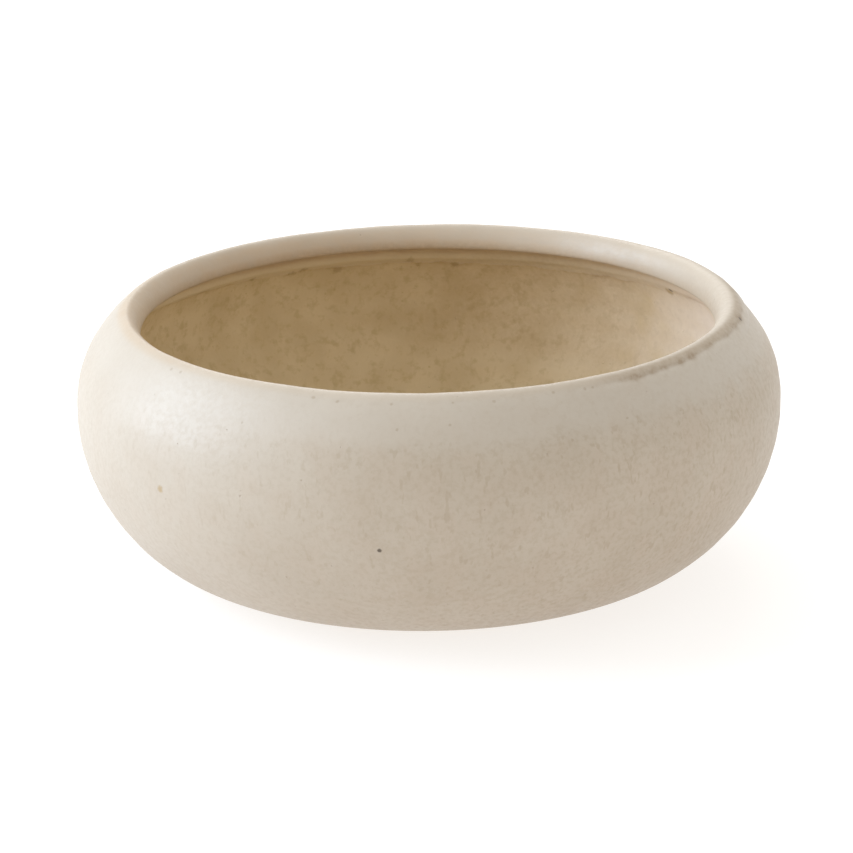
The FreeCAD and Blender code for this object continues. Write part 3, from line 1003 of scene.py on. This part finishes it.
def make_rim(skin):
    section = rim_section()
    radius, height, degrees = section.grid(RIM_SEGMENTS)
    points = grid_points(radius, height, degrees)
    outer, inner, seam = (section.rows(name) for name in ("outer", "inner", "seam"))
    share = merge_share(degrees)
    relief = np.zeros(radius.shape)
    uneven = lumps(points, RIM_LUMPS)
    rising = uneven * smooth_step(height, CREASE_LEVEL, CREASE_LEVEL + 1.5)
    relief[outer] = (rising + edge_groove(height, degrees))[outer]
    relief[inner] = uneven[inner]
    normals = section.normals()
    moved = np.zeros(radius.shape)
    shaped = (1 - share) * ridged_radius(height) + share * merged_radius(height)
    moved[outer] = (shaped - radius)[outer]
    top_radius = (1 - share) * RIDGED_TOP_RADIUS + share * MERGED_TOP_RADIUS
    above_lip = np.clip((height - LIP_LEVEL) / (POT_HEIGHT - LIP_LEVEL), 0, 1)
    power = ROUND_POWER + (BEVEL_POWER - ROUND_POWER) * share
    bevel = top_radius - (top_radius - MOUTH_RADIUS) * (1 - above_lip**power) ** (1 / power)
    sloped = inner & (section.grid(1)[1][:, 0] > LIP_LEVEL)
    moved[sloped] = (bevel - radius)[sloped]
    moved[seam] = seam_move(radius, degrees)[seam]
    fields = blank_fields(radius.shape, FULLY_GLAZED)
    shaded = tinted(degrees, height, *LIP_SHADE)
    shaded *= radius < RIM_TOP_RADIUS
    # glaze breaks, with painted shade under the lip and on the rim's right side
    fields["brown"] = np.clip(rim_break(height, radius, degrees) + shaded, 0, 1)
    fields["stain_and_shade"] = rim_stain_and_shade(height, radius, degrees)
    # painted reflection of the sky on the rim's outer face
    outside = smooth_step(height, *CREST_LEVELS) * (radius > RIM_TOP_RADIUS)
    fields["shoulder"] = around(degrees, *SHOULDER_SKY_SHEEN) * outside
    fields["mottled"] = mottling(height, degrees)
    radius = radius + relief * normals[:, :1] + moved
    height = height + relief * normals[:, 1:]
    raised = smooth_step(height, CREASE_LEVEL, POT_HEIGHT)
    height += raised * (around(degrees, *FRONT_RISE) - around(degrees, *BACK_DIP))
    return turned_object("rolled_rim", radius, height, degrees, skin, fields)


# --- the foot ring ---
def foot_section():
    section = Section()
    inner = quarter((FOOT_INNER_RADIUS + FOOT_ROUNDING, FOOT_ROUNDING), FOOT_ROUNDING, 180)
    outer = quarter((FOOT_OUTER_RADIUS - FOOT_ROUNDING, FOOT_ROUNDING), FOOT_ROUNDING, 270)
    top_inner, top_outer = (FOOT_INNER_RADIUS, FOOT_HEIGHT), (FOOT_OUTER_RADIUS, FOOT_HEIGHT)
    section.add("side", np.concatenate([[top_inner], inner, outer, [top_outer]]), FINE)
    section.add("top", line(top_outer, top_inner), COARSE)
    return section


def notch_height(radius, degrees):
    """How high the notches lift the ring's underside at each point."""
    lift = np.zeros(radius.shape)
    for index in range(NOTCH_COUNT):
        center = FIRST_NOTCH_ANGLE + 360 * index / NOTCH_COUNT
        across = np.abs(radius * np.radians(turned_from(degrees, center)))
        half = NOTCH_WIDTH / 2
        lift = np.maximum(lift, NOTCH_HEIGHT * smooth_step(across, half, half - NOTCH_SOFTNESS))
    return lift


def make_foot(clay):
    section = foot_section()
    radius, height, degrees = section.grid(FOOT_SEGMENTS)
    side = section.rows("side")
    lift = notch_height(radius, degrees)
    wear = lumps(grid_points(radius, height, degrees), FOOT_WEAR)
    share = (FOOT_HEIGHT - height) / FOOT_HEIGHT
    height[side] += (share * (lift + np.clip(wear, 0, 1)))[side]
    return turned_object("foot", radius, height, degrees, clay, {})


# --- the screen and its clip ---
MESH_PITCH = 3.2
STRAND_HALF_WIDTH = 0.36
STRAND_HALF_HEIGHT = 0.34
STRAND_SIDES = 10
STRAND_STEP = 0.45
CROSSING_SWELL = 0.26  # how much thicker a strand is where it crosses another
CROSSING_REACH = 0.6
STUB_SEED = 7
STRAND_OFFSET = 0.13  # the two layers of strands cross a little above and below the middle
STUB = 0.7  # longest end left by the scissors


def make_strand(start, end, crossings):
    """One strand from start to end: an oval rod that thickens where it crosses others."""
    along = np.linspace(0, 1, int(np.linalg.norm(end - start) / STRAND_STEP))
    centers = start + (end - start) * along[:, None]
    direction = (end - start) / np.linalg.norm(end - start)
    sideways = np.cross(direction, (0, 0, 1))
    distance = np.linalg.norm(centers - start, axis=1)[:, None]
    nearest = np.abs(distance - crossings[None, :]).min(axis=1)
    swell = 1 + CROSSING_SWELL * bell(nearest, CROSSING_REACH)
    angles = 2 * math.pi * np.arange(STRAND_SIDES) / STRAND_SIDES
    ring = (
        np.cos(angles)[:, None] * sideways * STRAND_HALF_WIDTH
        + np.sin(angles)[:, None] * np.array((0, 0, STRAND_HALF_HEIGHT))
    )
    vertices = (centers[:, None] + ring[None] * swell[:, None, None]).reshape(-1, 3)
    return vertices, tube_faces(len(centers), STRAND_SIDES)


def tube_faces(rings, sides):
    """Quads of an open tube, with a face over each end."""
    faces = []
    for ring in range(rings - 1):
        for side in range(sides):
            beside = (side + 1) % sides
            low, high = ring * sides, (ring + 1) * sides
            faces.append((low + side, low + beside, high + beside, high + side))
    faces.append(tuple(range(sides)))
    faces.append(tuple(range((rings - 1) * sides, rings * sides)))
    return faces


def make_screen(plastic):
    """Two layers of strands, one across the other, cut off with scissors."""
    random = np.random.default_rng(STUB_SEED)
    half = screen_high[0]
    middle = (screen_low[2] + screen_high[2]) / 2
    count = round((2 * half - MESH_PITCH / 4) / MESH_PITCH) + 1
    places = (np.arange(count) - (count - 1) / 2) * MESH_PITCH
    vertices, faces = [], []
    for direction in (0, 1):
        level = middle + (STRAND_OFFSET if direction else -STRAND_OFFSET)
        for place in places:
            ends = []
            for side in (-1, 1):
                end = np.zeros(3)
                end[direction] = side * (half + random.uniform(0, STUB))
                end[1 - direction] = place
                end[2] = level
                ends.append(end)
            crossings = places - ends[0][direction]
            strand, strand_faces = make_strand(*ends, crossings)
            first = sum(len(part) for part in vertices)
            vertices.append(strand)
            faces += shifted_faces(strand_faces, first)
    return new_object("drain_mesh", np.concatenate(vertices), faces, plastic)


WIRE_RADIUS = 0.8
WIRE_SIDES = 20
LEG_PITCHES = 3
LEG_OFFSET = LEG_PITCHES * MESH_PITCH
LEG_BEND_RADIUS = 1.7
LOOP_SWING = 8.0
LOOP_BEND_RADIUS = 3.0
CUT_BEVEL = 0.25  # where the cutters rounded the wire's ends
ARC_STEP = 0.35
LEAST_ARC_POINTS = 6


def rounded_points(corners, radii):
    """Points along a path with a tangent arc at each inner corner."""
    points = [corners[0]]
    for before, corner, after, radius in zip(corners, corners[1:], corners[2:], radii):
        back = (before - corner) / np.linalg.norm(before - corner)
        ahead = (after - corner) / np.linalg.norm(after - corner)
        half_angle = math.acos(float(np.clip(back @ ahead, -1, 1))) / 2
        middle_way = (back + ahead) / np.linalg.norm(back + ahead)
        center = corner + middle_way * radius / math.sin(half_angle)
        start = corner + back * radius / math.tan(half_angle) - center
        end = corner + ahead * radius / math.tan(half_angle) - center
        turn = math.pi - 2 * half_angle
        count = max(LEAST_ARC_POINTS, int(turn * radius / ARC_STEP))
        for share in np.linspace(0, 1, count):
            first = math.sin((1 - share) * turn) / math.sin(turn)
            second = math.sin(share * turn) / math.sin(turn)
            points.append(center + first * start + second * end)
    points.append(corners[-1])
    return np.array(points)


def make_clip(metal):
    """The S of two loops on the mesh, and two legs down through it."""
    reach = clip_high[0] - WIRE_RADIUS
    level = clip_high[2] - WIRE_RADIUS
    bottom = clip_low[2]
    half = [
        (-LEG_OFFSET, 0, bottom),
        (-LEG_OFFSET, 0, level),
        (-reach, 0, level),
        (-reach, LOOP_SWING, level),
    ]
    corners = np.array(half + [(-x, -y, z) for x, y, z in reversed(half)], dtype=float)
    half_radii = [LEG_BEND_RADIUS, LOOP_BEND_RADIUS, LOOP_BEND_RADIUS]
    path = rounded_points(corners, half_radii + half_radii[::-1])
    ahead = np.gradient(path, axis=0)
    ahead /= np.linalg.norm(ahead, axis=1)[:, None]
    sideways = np.cross(ahead[0], (0, 1, 0))
    angles = 2 * math.pi * np.arange(WIRE_SIDES) / WIRE_SIDES
    rings = []
    last = len(path) - 1
    for index, (center, direction) in enumerate(zip(path, ahead)):
        sideways = sideways - direction * (sideways @ direction)
        sideways /= np.linalg.norm(sideways)
        other = np.cross(direction, sideways)
        ring = np.cos(angles)[:, None] * sideways + np.sin(angles)[:, None] * other
        if index == 0:
            rings.append(center + ring * (WIRE_RADIUS - CUT_BEVEL))
            rings.append(center + direction * CUT_BEVEL + ring * WIRE_RADIUS)
        elif index == last:
            rings.append(center - direction * CUT_BEVEL + ring * WIRE_RADIUS)
            rings.append(center + ring * (WIRE_RADIUS - CUT_BEVEL))
        else:
            rings.append(center + ring * WIRE_RADIUS)
    vertices = np.concatenate(rings)
    return new_object("clip_of_wire", vertices, tube_faces(len(rings), WIRE_SIDES), metal)


# --- floor, light and camera ---
FLOOR_SIDE = 6.0
FLOOR_GLOW = (1.0, 0.975, 0.95)
FLOOR_GLOW_STRENGTH = 0.77
GLOW_UNDER_POT = 0.1
SKY_COLOR = (1.0, 1.0, 0.97)
SKY_STRENGTH = 0.88
FLOOR_DARK = (0.30, 0.30, 0.30)
FLOOR_PALE = (0.32, 0.32, 0.32)
LIGHT_DISTANCE = 1.3
LIGHT_SIDE = 0.9
# name, azimuth and elevation in degrees, power in watts, colour; azimuth 0 is the camera's side
LIGHTS = (
    ("key", -91, 24, 20.8, (0.70, 0.83, 1.0)),
    ("back", 180, 48, 7.0, (1.0, 1.0, 1.0)),
)
AIM = Vector((-0.0008, 0.0, 0.0409))
CAMERA_DISTANCE = 1.207
CAMERA_ELEVATION = 18.0
CAMERA_ROLL = -0.91
LENS = 178.3
SENSOR = 36.0


def make_floor():
    """A pale table that glows a little, so that shadows on it stay faint, but less under the pot."""
    graph = Graph("pale_floor")
    color = graph.mix(graph.noise(400.0), FLOOR_DARK, FLOOR_PALE)
    normal = graph.bump(graph.noise(2.0), 0.01)
    away = graph.add("VectorMath", {0: graph.place}, operation="LENGTH").outputs["Value"]
    edges = (FOOT_INNER_RADIUS * MM, FOOT_OUTER_RADIUS * MM)
    glow = graph.ramp(away, *edges, GLOW_UNDER_POT, FLOOR_GLOW_STRENGTH)
    glow_color = (*FLOOR_GLOW, 1.0)
    paint = graph.finish(
        color, 0.9, normal, Specular_IOR_Level=0.1, Emission_Color=glow_color, Emission_Strength=glow
    )
    half = FLOOR_SIDE / 2 / MM
    corners = [(-half, -half, 0), (half, -half, 0), (half, half, 0), (-half, half, 0)]
    return new_object("floor", corners, [(0, 1, 2, 3)], paint, smooth=False)


def placed(name, data, azimuth, elevation, distance):
    """An object round the pot, and the way it has to face."""
    holder = bpy.data.objects.new(name, data)
    turn, rise = math.radians(azimuth), math.radians(elevation)
    back = Vector((math.sin(turn) * math.cos(rise), -math.cos(turn) * math.cos(rise), math.sin(rise)))
    holder.location = AIM + back * distance
    bpy.context.scene.collection.objects.link(holder)
    return holder, (-back).to_track_quat("-Z", "Y")


def make_area_light(name, azimuth, elevation, power, color):
    """A square soft light that points at the pot."""
    lamp = bpy.data.lights.new(name, "AREA")
    lamp.shape = "SQUARE"
    lamp.size = LIGHT_SIDE
    lamp.energy = power
    lamp.color = color
    holder, facing = placed(name, lamp, azimuth, elevation, LIGHT_DISTANCE)
    holder.rotation_euler = facing.to_euler()


def make_world(strength):
    world = bpy.data.worlds.new("studio")
    world.use_nodes = True
    background = world.node_tree.nodes["Background"]
    background.inputs["Color"].default_value = (*SKY_COLOR, 1.0)
    background.inputs["Strength"].default_value = strength
    bpy.context.scene.world = world


def make_camera():
    camera = bpy.data.cameras.new("camera")
    camera.sensor_width = SENSOR
    camera.lens = LENS
    holder, facing = placed("camera", camera, 0, CAMERA_ELEVATION, CAMERA_DISTANCE)
    holder.rotation_mode = "QUATERNION"
    holder.rotation_quaternion = facing @ Quaternion((0, 0, 1), math.radians(CAMERA_ROLL))
    bpy.context.scene.camera = holder


def main():
    skin = make_pot_skin()
    clay = make_bare_clay()
    pieces = (
        (make_bowl(skin), "pot", "bowl", "cream_glaze"),
        (make_rim(skin), "pot", "rim_ring", "cream_glaze"),
        (make_foot(clay), "pot", "foot_ring", "bare_stoneware"),
        (make_screen(make_mesh_plastic()), "screen", "drain_screen", "black_mesh"),
        (make_clip(make_clip_wire()), "clip", "screen_clip", "clip_wire"),
    )
    for made, body, node, slot in pieces:
        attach(made, body)
        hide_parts(node)
    make_floor()
    make_world(SKY_STRENGTH)
    for light in LIGHTS:
        make_area_light(*light)
    make_camera()
    bpy.context.scene.view_settings.view_transform = "Standard"


main()
